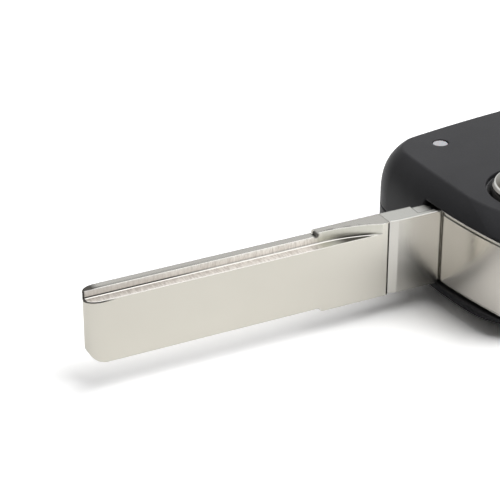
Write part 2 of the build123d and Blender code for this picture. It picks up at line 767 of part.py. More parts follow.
# Blade pin: the roll pin across the hub that holds the blade's tang
with BuildPart() as blade_pin:
    add(roll_pin_form(PIN_RADIUS, PIN_START_Y, BLADE_BACK_Y - PIN_END_INSET))
    chamfer(blade_pin.edges().filter_by(GeomType.CIRCLE), PIN_END_INSET)
    add(
        roll_pin_form(PIN_RADIUS / 2, PIN_START_Y, BLADE_BACK_Y - PIN_END_INSET),
        mode=Mode.SUBTRACT,
    )
blade_pin.part.label = "blade_pin"
export_step(blade_pin.part, "parts/blade_pin.step")

# Remote keys: three rounded keys, each with a flange that holds it under the top
for key_name, key_x in KEY_XS.items():
    with BuildPart() as remote_key:
        extrude(key_face(key_x, KEY_FLANGE_LOW_Z, 0), amount=KEY_TOP_Z - KEY_FLANGE_LOW_Z)
        chamfer(remote_key.faces().sort_by(Axis.Z)[-1].edges(), KEY_BEVEL)
        extrude(key_face(key_x, KEY_FLANGE_LOW_Z, KEY_FLANGE_OVERHANG), amount=KEY_FLANGE)
    remote_key.part.label = key_name
    export_step(remote_key.part, f"parts/{key_name}.step")

# Button pad: the rubber sheet with a sprung dome under each key
with BuildPart() as button_pad:
    with BuildSketch(Plane.XY.offset(PAD_LOW_Z)):
        with Locations((KEY_MIDDLE_X, TRAY_CENTRE_Y)):
            RectangleRounded(
                TRAY_LENGTH - 2 * PAD_INSET,
                TRAY_WIDTH - 2 * PAD_INSET,
                TRAY_CORNER - PAD_INSET,
            )
    extrude(amount=PAD_THICKNESS)
    for key_x in KEY_XS.values():
        with Locations((key_x, KEY_CENTRE_Y, (PAD_TOP_Z + DOME_TOP_Z) / 2)):
            Cone(DOME_RADIUS, DOME_TOP_RADIUS, DOME_TOP_Z - PAD_TOP_Z)
button_pad.part.label = "button_pad"
export_step(button_pad.part, "parts/button_pad.step")

# Board tray: the open tray that holds the pad above and the battery's cradle below
with BuildPart() as board_tray:
    with BuildSketch(Plane.XY.offset(FLOOR_Z)):
        with Locations((KEY_MIDDLE_X, TRAY_CENTRE_Y)):
            RectangleRounded(TRAY_LENGTH, TRAY_WIDTH, TRAY_CORNER)
    extrude(amount=PAD_LOW_Z - FLOOR_Z)
    with BuildSketch(Plane.XY.offset(TRAY_FLOOR_Z)):
        with Locations((KEY_MIDDLE_X, TRAY_CENTRE_Y)):
            RectangleRounded(
                TRAY_LENGTH - 2 * TRAY_WALL,
                TRAY_WIDTH - 2 * TRAY_WALL,
                TRAY_CORNER - TRAY_WALL,
            )
    extrude(amount=PAD_LOW_Z, mode=Mode.SUBTRACT)
    with BuildSketch(Plane.XY.offset(TRAY_FLOOR_Z)):
        with Locations((KEY_MIDDLE_X, TRAY_CENTRE_Y)):
            Circle(CELL_RADIUS + TRAY_WALL)
            Circle(CELL_RADIUS, mode=Mode.SUBTRACT)
            Rectangle(TRAY_LENGTH, CELL_RING_GAP, mode=Mode.SUBTRACT)
            Rectangle(TRAY_LENGTH, TRAY_WIDTH - TRAY_WALL, mode=Mode.INTERSECT)
    extrude(amount=CELL_RING_HEIGHT)
board_tray.part.label = "board_tray"
export_step(board_tray.part, "parts/board_tray.step")

# Battery clips: two bent strips on the tray's floor, one beside and one under the cell
with BuildPart() as battery_clip_plus:
    with BuildSketch(Plane.XZ.offset(-TRAY_CENTRE_Y - CLIP_WIDTH / 2)):
        with BuildLine():
            Polyline(
                (CLIP_SIDE_X + CLIP_SIDE_REACH, TRAY_FLOOR_Z),
                (CLIP_SIDE_X, TRAY_FLOOR_Z),
                (CLIP_SIDE_X, TRAY_FLOOR_Z + CLIP_SIDE_HEIGHT),
                (CLIP_SIDE_X + CLIP_SIDE_REACH / 2, TRAY_FLOOR_Z + CLIP_SIDE_HEIGHT / 2),
            )
            offset(amount=CLIP_THICKNESS, side=Side.LEFT, kind=Kind.INTERSECTION)
        make_face()
    extrude(amount=CLIP_WIDTH)
battery_clip_plus.part.label = "battery_clip_plus"
export_step(battery_clip_plus.part, "parts/battery_clip_plus.step")

with BuildPart() as battery_clip_minus:
    with BuildSketch(Plane.XZ.offset(-TRAY_CENTRE_Y - CLIP_WIDTH / 2)):
        with BuildLine():
            Polyline(
                (CLIP_BASE_X, TRAY_FLOOR_Z),
                (CLIP_BASE_X - CLIP_BASE_REACH, TRAY_FLOOR_Z),
                (CLIP_BASE_X - CLIP_BASE_REACH - CLIP_WIDTH, TRAY_FLOOR_Z + CLIP_BASE_RISE),
                (CLIP_BASE_X - CLIP_BASE_REACH - 2 * CLIP_WIDTH, TRAY_FLOOR_Z),
            )
            offset(amount=CLIP_THICKNESS, side=Side.RIGHT, kind=Kind.INTERSECTION)
        make_face()
    extrude(amount=CLIP_WIDTH)
battery_clip_minus.part.label = "battery_clip_minus"
export_step(battery_clip_minus.part, "parts/battery_clip_minus.step")

# Chip holder and its cover: the box beside the chamber for the transponder
with BuildPart() as chip_holder:
    extrude(chip_plan(FLOOR_Z, 0), amount=CHIP_HEIGHT)
    extrude(
        chip_plan(FLOOR_Z + CHIP_WALL, CHIP_WALL),
        amount=CHIP_HEIGHT,
        mode=Mode.SUBTRACT,
    )
chip_holder.part.label = "chip_holder"
export_step(chip_holder.part, "parts/chip_holder.step")

with BuildPart() as chip_cover:
    extrude(chip_plan(FLOOR_Z + CHIP_HEIGHT, 0), amount=CHIP_COVER)
chip_cover.part.label = "chip_cover"
export_step(chip_cover.part, "parts/chip_cover.step")

# Case screws: two countersunk screws up through the lower case
with BuildPart() as case_screws:
    head_height = SCREW_HEAD_RADIUS - SCREW_RADIUS
    for place in SCREW_PLACES:
        add(disc(*place, SCREW_RADIUS, SCREW_SINK, SCREW_TOP_Z))
        with Locations((*place, SCREW_SINK + head_height / 2)):
            Cone(SCREW_HEAD_RADIUS, SCREW_RADIUS, head_height)
        with BuildSketch(Plane.XY.offset(SCREW_SINK)):
            with Locations(place):
                RegularPolygon(SCREW_DRIVE_RADIUS, 6)
        extrude(amount=SCREW_DRIVE_DEPTH, mode=Mode.SUBTRACT)
case_screws.part.label = "case_screws"
export_step(case_screws.part, "parts/case_screws.step")

# Ring pin: the steel pin across the notch that the key ring hangs on
with BuildPart() as ring_pin:
    add(
        disc(
            RING_PIN_X,
            RING_NOTCH_Y,
            RING_PIN_RADIUS,
            RING_PIN_LOW_Z,
            RING_PIN_HIGH_Z - RING_PIN_GAP,
        )
    )
    chamfer(ring_pin.edges().filter_by(GeomType.CIRCLE), RING_PIN_CHAMFER)
ring_pin.part.label = "ring_pin"
export_step(ring_pin.part, "parts/ring_pin.step")
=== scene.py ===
import bpy
from mathutils import Matrix, Vector

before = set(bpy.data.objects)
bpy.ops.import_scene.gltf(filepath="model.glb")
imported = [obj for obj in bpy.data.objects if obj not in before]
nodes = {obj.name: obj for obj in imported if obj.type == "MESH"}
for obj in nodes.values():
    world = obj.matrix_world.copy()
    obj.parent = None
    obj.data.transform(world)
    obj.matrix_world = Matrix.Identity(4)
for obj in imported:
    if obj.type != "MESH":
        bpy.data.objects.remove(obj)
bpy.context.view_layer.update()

MM = 0.001

# Camera: fitted to the photograph, in the part's own frame
CAMERA_PLACE = Vector((-122.8, -168.1, 116.0)) * MM
CAMERA_RIGHT = Vector((0.8939, -0.4482, 0.0))
CAMERA_FORWARD = Vector((0.3957, 0.7893, -0.4695))
CAMERA_CLIP = (0.01, 10.0)
FOCAL_PIXELS = 1892.0
FRAME_PIXELS = 500.0
SENSOR = 36.0

# The Mix node's sockets for colours
MIX_SHARE, MIX_FIRST, MIX_SECOND, MIX_RESULT = 0, 6, 7, 2

# A softened normal and the true one agree fully on a flat, and less on an edge
EDGE_AGREEMENT = (1.0, 0.86)
BEVEL_SAMPLES = 6

# How much of a normal points up where a surface counts as an upper side
UPWARD = (0.8, 0.9)

# Noise: soft clouds and fine grain
CLOUD_DETAIL = 3.0
GRAIN_DETAIL = 2.0
GRAIN_ROUGHNESS = 0.6
CLOUD_TONE = (0.3, 0.7)
FINE_RELIEF = 0.01 * MM


def rgb(red, green, blue):
    return (red, green, blue, 1.0)


def make_camera():
    data = bpy.data.cameras.new("view")
    data.sensor_width = SENSOR
    data.lens = SENSOR * FOCAL_PIXELS / FRAME_PIXELS
    data.clip_start, data.clip_end = CAMERA_CLIP
    camera = bpy.data.objects.new("view", data)
    right = CAMERA_RIGHT.normalized()
    back = -CAMERA_FORWARD.normalized()
    up = back.cross(right).normalized()
    turn = Matrix((right, up, back)).transposed()
    camera.matrix_world = Matrix.Translation(CAMERA_PLACE) @ turn.to_4x4()
    bpy.context.scene.collection.objects.link(camera)
    bpy.context.scene.camera = camera


class Shader:
    """A small builder for a material's or the world's nodes."""

    def __init__(self, tree):
        self.tree = tree
        tree.nodes.clear()

    def add(self, kind, values=None, **settings):
        node = self.tree.nodes.new(kind)
        for name, value in settings.items():
            setattr(node, name, value)
        for socket, value in (values or {}).items():
            self.put(node.inputs[socket], value)
        return node

    def put(self, socket, value):
        if isinstance(value, bpy.types.NodeSocket):
            self.tree.links.new(value, socket)
        else:
            socket.default_value = value

    def math(self, operation, *values):
        node = self.add("ShaderNodeMath", operation=operation)
        for index, value in enumerate(values):
            self.put(node.inputs[index], value)
        return node.outputs[0]

    def times(self, first, *others):
        """The product of all the values."""
        for other in others:
            first = self.math("MULTIPLY", first, other)
        return first

    def most(self, first, *others):
        """The largest of all the values."""
        for other in others:
            first = self.math("MAXIMUM", first, other)
        return first

    def weighed(self, share, first, second):
        """The first number by its share, and the second by the rest."""
        linked = isinstance(share, bpy.types.NodeSocket)
        rest = self.math("SUBTRACT", 1.0, share) if linked else 1.0 - share
        return self.math("ADD", self.times(first, share), self.times(second, rest))

    def distance(self, over_a, over_b):
        squares = self.math("ADD", self.times(over_a, over_a), self.times(over_b, over_b))
        return self.math("SQRT", squares)

    def span(self, value, low_in, high_in, low_out, high_out, smooth=False):
        """The value carried from one range to another, and held at its ends."""
        kind = "SMOOTHSTEP" if smooth else "LINEAR"
        node = self.add("ShaderNodeMapRange", interpolation_type=kind)
        for index, item in enumerate((value, low_in, high_in, low_out, high_out)):
            self.put(node.inputs[index], item)
        return node.outputs[0]

    def rise(self, value, start, end, full=1.0, smooth=False):
        """0 before start, and full past end."""
        return self.span(value, start, end, 0.0, full, smooth)

    def fall(self, value, start, end, full=1.0, smooth=False):
        """Full before start, and 0 past end."""
        return self.span(value, start, end, full, 0.0, smooth)

    def between(self, value, rise, fall):
        """1 between the end of one range and the start of the other, and 0 outside both."""
        return self.times(self.rise(value, *rise), self.fall(value, *fall))

    def blend(self, share, first, second):
        """Two colours, with the second's share."""
        node = self.add("ShaderNodeMix", data_type="RGBA")
        self.put(node.inputs[MIX_SHARE], share)
        self.put(node.inputs[MIX_FIRST], first)
        self.put(node.inputs[MIX_SECOND], second)
        return node.outputs[MIX_RESULT]

    def split(self, vector):
        return self.add("ShaderNodeSeparateXYZ", {"Vector": vector}).outputs

    def place(self, scale):
        point = self.add("ShaderNodeTexCoord").outputs["Object"]
        return self.add("ShaderNodeMapping", {"Vector": point, "Scale": scale}).outputs[0]

    def place_mm(self):
        """The point's place in the part's frame: x, y and z in mm."""
        return self.split(self.place((1.0 / MM, 1.0 / MM, 1.0 / MM)))

    def noise(self, detail, size=1.0, stretch=(1.0, 1.0, 1.0), roughness=0.5):
        values = {"Scale": size, "Detail": detail, "Roughness": roughness}
        node = self.add("ShaderNodeTexNoise", values)
        self.put(node.inputs["Vector"], self.place(stretch))
        return node.outputs["Fac"]

    def cloud(self, size):
        return self.noise(CLOUD_DETAIL, size)

    def facing(self):
        return self.add("ShaderNodeNewGeometry").outputs["Normal"]

    def softened(self, edge):
        """The normal, with edges rounded by so many mm."""
        return self.add("ShaderNodeBevel", {"Radius": edge * MM}, samples=BEVEL_SAMPLES).outputs[0]

    def edges(self, edge):
        """How near a point is to an edge, from 0 to 1."""
        node = self.add("ShaderNodeVectorMath", operation="DOT_PRODUCT")
        self.put(node.inputs[0], self.softened(edge))
        self.put(node.inputs[1], self.facing())
        return self.rise(node.outputs["Value"], *EDGE_AGREEMENT)

    def bump(self, strength, distance, height, normal):
        values = {"Strength": strength, "Distance": distance, "Height": height, "Normal": normal}
        return self.add("ShaderNodeBump", values).outputs[0]


# Colour of every piece where Blender shows solids only
SOLID_VIEW = rgb(0.5, 0.5, 0.5)


def new_material(name, **constants):
    material = bpy.data.materials.new(name)
    material.use_nodes = True
    shader = Shader(material.node_tree)
    surface = shader.add("ShaderNodeBsdfPrincipled")
    out = shader.add("ShaderNodeOutputMaterial")
    shader.put(out.inputs["Surface"], surface.outputs[0])
    for socket, value in constants.items():
        surface.inputs[socket.replace("_", " ")].default_value = value
    material.diffuse_color = SOLID_VIEW
    return material, shader, surface


def finish_surface(shader, surface, colour, roughness, normal):
    shader.put(surface.inputs["Base Color"], colour)
    shader.put(surface.inputs["Roughness"], roughness)
    shader.put(surface.inputs["Normal"], normal)


# Moulded plastic and rubber
MOULDED_CLOUD = 160.0
MOULDED_CLOUD_SHARE = 0.6
MOULDED_SPECKLE = (0.25, 0.75)
MOULDED_SPREAD = 0.05
MOULDED_WEAR = 0.35
MOULDED_WORN_LIGHT = 1.9
MOULDED_STRENGTH = 0.2
MOULDED_RELIEF = 0.04 * MM


def moulded(name, dark, light, rough, grain, edge, level):
    """Moulded plastic or rubber: fine grain, cloudy tone and faintly worn edges."""
    material, shader, surface = new_material(name, Specular_IOR_Level=level)
    speckle = shader.noise(GRAIN_DETAIL, grain, roughness=GRAIN_ROUGHNESS)
    tone = shader.weighed(MOULDED_CLOUD_SHARE, shader.cloud(MOULDED_CLOUD), speckle)
    colour = shader.blend(shader.rise(tone, *CLOUD_TONE), dark, light)
    worn = shader.times(shader.edges(edge), MOULDED_WEAR)
    colour = shader.blend(worn, colour, rgb(*(MOULDED_WORN_LIGHT * part for part in light[:3])))
    smoothest, roughest = rough - MOULDED_SPREAD, rough + MOULDED_SPREAD
    roughness = shader.span(speckle, *MOULDED_SPECKLE, smoothest, roughest)
    normal = shader.bump(MOULDED_STRENGTH, MOULDED_RELIEF, speckle, shader.softened(edge))
    finish_surface(shader, surface, colour, roughness, normal)
    return material


# Metals: grain is long along one axis and fine across it
METAL_TONE = (0.2, 0.8)
METAL_CLOUD = 120.0
GRAIN_ACROSS = 7000.0
PLATED_GRAIN = 220.0
PLATED_CLOUD_SHARE = 0.7
PLATED_SPREAD = 0.02
PLATED_POLISH = -0.06
# Painted highlight: the colour of plated edges, as if they caught the light
PLATED_EDGE_HIGHLIGHT = rgb(0.93, 0.92, 0.89)

# The seam between blade and arm, and where the arm's edge gets its painted highlight again, in mm
SEAM_X = -17.82
ARM_UPPER_Z = (11.9, 12.0)
ARM_INWARD_X = (SEAM_X + 0.35, SEAM_X + 0.5)

# Painted shade along the band's upper border, where it meets the shell
BORDER_SHADE = rgb(0.03, 0.027, 0.024)
BORDER_HEIGHT = 0.06
BORDER_CLOUD = (0.35, 0.6)
BORDER_SHARE = (0.6, 0.95)


def metal_noise(shader, axis, grain_along, cloud_share):
    """Grain drawn along one axis, soft stains, and a tone made of both."""
    stretch = tuple(grain_along if index == axis else GRAIN_ACROSS for index in range(3))
    grain = shader.noise(GRAIN_DETAIL, stretch=stretch, roughness=GRAIN_ROUGHNESS)
    cloud = shader.cloud(METAL_CLOUD)
    return grain, cloud, shader.weighed(cloud_share, cloud, grain)


def plated(name, dark, light, rough, axis, strength, edge, top=None, border=None):
    """Plated metal: a drawn grain along one axis, faint stains and a painted highlight along its
    edges.
    """
    material, shader, surface = new_material(name, Metallic=1.0)
    grain, cloud, tone = metal_noise(shader, axis, PLATED_GRAIN, PLATED_CLOUD_SHARE)
    colour = shader.blend(shader.rise(tone, *METAL_TONE), dark, light)
    edge_highlight = shader.edges(edge)
    if top:
        # The upper side gets a painted darker shade, and its edge at the seam gets no painted
        # highlight
        upward = shader.rise(shader.split(shader.facing())[2], *UPWARD)
        colour = shader.blend(upward, colour, top)
        along, _, height = shader.place_mm()
        highlight_kept = shader.most(shader.fall(height, *ARM_UPPER_Z), shader.rise(along, *ARM_INWARD_X))
        edge_highlight = shader.times(edge_highlight, highlight_kept)
    # Painted highlight: edges lighter, as if they caught the light
    colour = shader.blend(edge_highlight, colour, PLATED_EDGE_HIGHLIGHT)
    if border:
        height = shader.place_mm()[2]
        uneven = shader.span(cloud, *BORDER_CLOUD, *BORDER_SHARE)
        # Painted shade: a dark, matt line along the upper border
        painted_shade = shader.times(shader.rise(height, border - BORDER_HEIGHT, border), uneven)
        colour = shader.blend(painted_shade, colour, BORDER_SHADE)
        shader.put(surface.inputs["Metallic"], shader.math("SUBTRACT", 1.0, painted_shade))
    roughness = shader.span(tone, *METAL_TONE, rough + PLATED_SPREAD, rough - PLATED_SPREAD)
    roughness = shader.math("ADD", roughness, shader.times(edge_highlight, PLATED_POLISH))
    normal = shader.bump(strength, FINE_RELIEF, grain, shader.softened(edge))
    finish_surface(shader, surface, colour, roughness, normal)
    return material


# The blade, in mm: its middle, its milled track, the track's arc run-out and its ends
BLADE_MID_Y = 5.6
BLADE_MID_Z = 7.8
LEDGE_Z = 11.38
PLATE_Y = 4.3
WALL_Y = 5.75
CUTTER_RADIUS = 20.0
ARC_START_X = -26.08
TRACK_END_X = -18.6
TIP_X = -56.7
SHOULDER_X = -26.85

# Where each form on it starts and is full, in mm: X is along the blade, GAP from the track's
# wall out over its ledge, LIP from the blade's face inward, ABOVE up from the ledge, and DEPTH
# back from the blade's middle
TRACK_GAP = (-0.05, -0.04)
TRACK_ABOVE = (-0.03, -0.02)
TRACK_CLOSE_X = (TRACK_END_X, TRACK_END_X - 0.05)
LEDGE_GAP = (0.02, 0.04)
SCOOP_START_X = (-26.2, -23.0)
SCOOP_END_X = (-20.6, -18.7)
TOP_ABOVE = (0.88, 0.90)

# Bare metal: painted lighter towards the root, painted darker on the top as shade, and with painted
# highlights on its edges
BLADE_GRAIN = 260.0
BLADE_CLOUD_SHARE = 0.8
NICKEL_DARK = rgb(0.66, 0.635, 0.565)
NICKEL_LIGHT = rgb(0.695, 0.67, 0.60)
# Painted light: the plate lighter towards the root
NICKEL_ROOT_LIT = rgb(0.745, 0.72, 0.65)
# Painted shade on the upper face
NICKEL_TOP_SHADE = rgb(0.47, 0.46, 0.43)
# Painted highlight on the edges
NICKEL_EDGE_HIGHLIGHT = rgb(0.97, 0.96, 0.92)
ROOT_X = (-31.0, -18.0)
BLADE_EDGE = 0.16
BLADE_EDGE_STOP_X = (SEAM_X - 0.5, SEAM_X - 0.3)

# Milling marks, the duller arc and wall, and a painted highlight along the ledge's corner
MARKS_DETAIL = 3.0
MARKS_STRETCH = (3600.0, 700.0, 700.0)
MARKS_ROUGHNESS = 0.7
MARKS_TONE = (0.38, 0.62)
MILLED_DARK = rgb(0.72, 0.685, 0.64)
MILLED_LIGHT = rgb(0.97, 0.935, 0.89)
MILLED_ARC = rgb(0.64, 0.63, 0.56)
MILLED_ARC_SHARE = 0.92
MILLED_ARC_X = (-27.6, -25.6)
DULL_WALL = rgb(0.56, 0.53, 0.50)
DULL_WALL_SHARE = 0.75
DULL_WALL_X = (-54.0, -36.0)
CORNER_HIGHLIGHT = rgb(0.97, 0.95, 0.90)
CORNER_HIGHLIGHT_GAP = (0.20, 0.26)
CORNER_HIGHLIGHT_X = (-19.6, -19.0)

# Painted shade in the track's corner, and a painted dark reflection pooled in the arc and on the
# arc's ledge
BLADE_SHADE = rgb(0.030, 0.026, 0.021)
LINE_ABOVE = (0.11, 0.18)
LINE_X = (-46.0, -40.0)
LINE_SHARE = (0.95, 0.22)
POOL_ABOVE = (0.08, 0.44)
POOL_SHARE = 0.92
MIDDLE_GAP = (0.18, 0.28)
MIDDLE_LIP = (0.08, 0.18)
MIDDLE_SHARE = 0.95

# Painted dark reflection outlining the tip: below the ledge, on the nose and over the upper corner
BELOW_ABOVE = ((-0.26, -0.16), (-0.04, -0.02))
BELOW_DEPTH = (-0.1, 0.0)
BELOW_X = (TIP_X + 3.6, TIP_X + 2.2)
NOSE_ABOVE = (-0.1, 0.0)
NOSE_X = (TIP_X + 0.32, TIP_X + 0.2)
CAP_ABOVE = (0.3, 0.5)
CAP_UPFRONT = (0.3, 0.5)
CAP_X = (TIP_X + 2.2, TIP_X + 1.3)
OUTLINE_SHARE = 0.95
CAP_SHARE = 0.93

# Painted shade line along the top's front edge, and its dashes over the arc
RIM_GAP = ((-0.42, -0.32), (-0.14, -0.08))
RIM_MIDDLE_X = (-44.0, -36.0)
RIM_MIDDLE_SHARE = 0.45
RIM_TIP_X = (-55.2, -52.5)
RIM_TIP_SHARE = 0.9
DASH_DETAIL = 1.0
DASH_STRETCH = (900.0, 1.0, 1.0)
DASH_TONE = (0.46, 0.54)
DASH_SHARE = 0.62
DASH_X = ((-26.6, -26.3), (-20.4, -19.8))
DASH_GAP = ((-0.38, -0.30), (-0.08, -0.04))

# Painted shadow in the seam, and a painted dark reflection at the upper shoulder
SEAM_LINE_X = (SEAM_X - 0.1, SEAM_X)
SEAM_Y = (4.5, 4.7)
SEAM_ABOVE = (1.24, 1.32)
SHOULDER_DARK_ABOVE = 1.05
SHOULDER_DARK_RADIUS = (0.25, 0.45)
SHOULDER_DARK_DEPTH = (0.9, 1.0)
SHOULDER_DARK_SHARE = 0.85

# Gloss and relief
BARE_SPECULAR, SHADE_SPECULAR = 0.5, 0.1
BLADE_ROUGHNESS = (0.24, 0.20)
TRACK_ROUGHNESS = 0.10
SHADE_ROUGHNESS = 0.3
RIDGE_GAP = 0.26
RIDGE_EDGE = 0.14
MARKS_DEPTH = 2.0
BLADE_STRENGTH = 0.08


class Blade:
    """Where a point lies on the blade, in mm, and what its place calls for."""

    def __init__(self, shader):
        do = shader.math
        self.shader = shader
        self.along, self.across, height = shader.place_mm()
        # The lower back track is the upper front one turned over, so both use one set of places
        over = do("SUBTRACT", height, BLADE_MID_Z)
        self.depth = shader.times(do("SUBTRACT", self.across, BLADE_MID_Y), do("SIGN", over))
        self.above = do("ADD", do("ABSOLUTE", over), BLADE_MID_Z - LEDGE_Z)
        run = shader.most(do("SUBTRACT", self.along, ARC_START_X), 0.0)
        arc = do("SQRT", do("SUBTRACT", CUTTER_RADIUS**2, shader.times(run, run)))
        wall = do("ADD", arc, WALL_Y - CUTTER_RADIUS - BLADE_MID_Y)
        self.gap = do("SUBTRACT", wall, self.depth)
        self.lip = do("SUBTRACT", self.depth, PLATE_Y - BLADE_MID_Y)
        facing = shader.split(shader.facing())
        self.upfront = do("ABSOLUTE", facing[1])
        level = do("ABSOLUTE", facing[2])
        self.track = shader.times(
            shader.rise(self.gap, *TRACK_GAP),
            shader.rise(self.above, *TRACK_ABOVE),
            shader.rise(self.along, *TRACK_CLOSE_X),
        )
        self.ledge = shader.times(self.track, shader.rise(self.gap, *LEDGE_GAP))
        self.upright = do("SUBTRACT", self.track, self.ledge)
        self.scoop = shader.times(
            shader.rise(self.along, *SCOOP_START_X, smooth=True),
            shader.fall(self.along, *SCOOP_END_X, smooth=True),
        )
        self.top = shader.times(shader.rise(self.above, *TOP_ABOVE), shader.rise(level, *UPWARD))

    def colour(self, tone, marks):
        """Nickel plate and the milled tracks, painted lighter at the root, with painted shade on
        the top and painted highlights on the edges and along the ledge's corner.
        """
        shader = self.shader
        colour = shader.blend(shader.rise(tone, *METAL_TONE), NICKEL_DARK, NICKEL_LIGHT)
        # Painted light towards the root
        colour = shader.blend(shader.rise(self.along, *ROOT_X), colour, NICKEL_ROOT_LIT)
        # Painted shade on the upper face
        colour = shader.blend(self.top, colour, NICKEL_TOP_SHADE)
        milled = shader.blend(shader.rise(marks, *MARKS_TONE), MILLED_DARK, MILLED_LIGHT)
        in_arc = shader.rise(self.along, *MILLED_ARC_X, full=MILLED_ARC_SHARE, smooth=True)
        milled = shader.blend(in_arc, milled, MILLED_ARC)
        colour = shader.blend(self.track, colour, milled)
        # The track's wall is duller towards the tip
        dull = shader.fall(self.along, *DULL_WALL_X, full=DULL_WALL_SHARE)
        colour = shader.blend(shader.times(self.upright, dull), colour, DULL_WALL)
        # Painted highlight on the edges, left out near the seam
        highlight_reach = shader.fall(self.along, *BLADE_EDGE_STOP_X)
        edge_highlight = shader.times(shader.edges(BLADE_EDGE), highlight_reach)
        colour = shader.blend(edge_highlight, colour, NICKEL_EDGE_HIGHLIGHT)
        # Painted highlight along the ledge's corner
        corner_highlight = shader.times(
            self.ledge, shader.fall(self.gap, *CORNER_HIGHLIGHT_GAP), shader.fall(self.along, *CORNER_HIGHLIGHT_X)
        )
        return shader.blend(corner_highlight, colour, CORNER_HIGHLIGHT)

    def track_shade(self):
        """Painted shade in the track's corner, and a painted dark reflection where the cutter ran
        out.
        """
        shader = self.shader
        line = shader.times(
            shader.fall(self.above, *LINE_ABOVE), shader.span(self.along, *LINE_X, *LINE_SHARE)
        )
        pool = shader.fall(self.above, *POOL_ABOVE, smooth=True)
        pool = shader.times(pool, self.scoop, POOL_SHARE)
        corner = shader.times(self.upright, shader.most(line, pool))
        middle = shader.times(
            shader.rise(self.gap, *MIDDLE_GAP),
            shader.rise(self.lip, *MIDDLE_LIP),
            self.ledge,
            self.scoop,
            MIDDLE_SHARE,
        )
        return shader.most(corner, middle)

    def tip_shade(self):
        """A painted dark reflection outlining the tip."""
        shader = self.shader
        below = shader.times(
            shader.between(self.above, *BELOW_ABOVE),
            shader.fall(self.depth, *BELOW_DEPTH),
            shader.rise(self.along, *BELOW_X, full=OUTLINE_SHARE),
        )
        nose = shader.times(
            shader.rise(self.above, *NOSE_ABOVE, full=OUTLINE_SHARE),
            shader.rise(self.along, *NOSE_X),
        )
        cap = shader.times(
            shader.rise(self.along, *CAP_X, full=CAP_SHARE),
            shader.rise(self.above, *CAP_ABOVE),
            shader.fall(self.upfront, *CAP_UPFRONT),
        )
        return shader.most(below, nose, cap)

    def rim_shade(self):
        """A painted shade line along the top's front edge, heavier round the tip's corner."""
        shader = self.shader
        fade = shader.most(
            shader.fall(self.along, *RIM_MIDDLE_X, full=RIM_MIDDLE_SHARE),
            shader.fall(self.along, *RIM_TIP_X, full=RIM_TIP_SHARE),
        )
        rim = shader.times(shader.between(self.gap, *RIM_GAP), self.top, fade)
        broken = shader.noise(DASH_DETAIL, stretch=DASH_STRETCH)
        dashes = shader.times(
            shader.rise(broken, *DASH_TONE, full=DASH_SHARE),
            shader.between(self.along, *DASH_X),
            shader.between(self.gap, *DASH_GAP),
            self.top,
        )
        return shader.most(rim, dashes)

    def root_shade(self):
        """A painted shadow in the seam at the arm, and a painted dark reflection at the shoulder.
        """
        shader = self.shader
        seam = shader.times(
            shader.rise(self.along, *SEAM_LINE_X),
            shader.fall(self.across, *SEAM_Y),
            shader.fall(self.above, *SEAM_ABOVE),
        )
        from_shoulder_dark = shader.distance(
            shader.math("SUBTRACT", self.along, SHOULDER_X),
            shader.math("SUBTRACT", self.above, SHOULDER_DARK_ABOVE),
        )
        shoulder_dark = shader.times(
            shader.fall(from_shoulder_dark, *SHOULDER_DARK_RADIUS, full=SHOULDER_DARK_SHARE),
            shader.fall(self.depth, *SHOULDER_DARK_DEPTH),
        )
        return shader.most(seam, shoulder_dark)

    def relief(self, grain, marks):
        """Grain and milling marks, over the fold along the ledge's corner."""
        shader = self.shader
        ridge = shader.most(shader.math("SUBTRACT", RIDGE_GAP, self.gap), 0.0)
        # The ridge's height is in mm, and the bump's in metres
        fold = shader.bump(1.0, MM, shader.times(self.ledge, ridge), shader.softened(RIDGE_EDGE))
        deep = shader.times(marks, self.track, MARKS_DEPTH)
        return shader.bump(BLADE_STRENGTH, FINE_RELIEF, shader.math("ADD", grain, deep), fold)


def blade_material():
    """Nickel plate with painted edge highlights, milled tracks with painted shade and painted dark
    reflections in them, and a painted shadow in the seam.
    """
    material, shader, surface = new_material("blade_nickel")
    blade = Blade(shader)
    grain, _, tone = metal_noise(shader, 0, BLADE_GRAIN, BLADE_CLOUD_SHARE)
    marks = shader.noise(MARKS_DETAIL, stretch=MARKS_STRETCH, roughness=MARKS_ROUGHNESS)
    # Painted shade and painted dark reflections: dark and matt where painted
    painted_shade = shader.most(
        blade.track_shade(), blade.tip_shade(), blade.rim_shade(), blade.root_shade()
    )
    colour = shader.blend(painted_shade, blade.colour(tone, marks), BLADE_SHADE)
    roughness = shader.span(tone, *METAL_TONE, *BLADE_ROUGHNESS)
    roughness = shader.math("ADD", roughness, shader.times(blade.track, TRACK_ROUGHNESS))
    roughness = shader.math("ADD", roughness, shader.times(painted_shade, SHADE_ROUGHNESS))
    specular = shader.span(painted_shade, 0.0, 1.0, BARE_SPECULAR, SHADE_SPECULAR)
    shader.put(surface.inputs["Metallic"], shader.math("SUBTRACT", 1.0, painted_shade))
    shader.put(surface.inputs["Specular IOR Level"], specular)
    finish_surface(shader, surface, colour, roughness, blade.relief(grain, marks))
    return material


def around(shader, x=0.0, y=0.0):
    """Distance from an upright axis, and how far beyond it in Y, in mm."""
    place_x, place_y, _ = shader.place_mm()
    over_x = shader.math("SUBTRACT", place_x, x)
    over_y = shader.math("SUBTRACT", place_y, y)
    return shader.distance(over_x, over_y), over_y


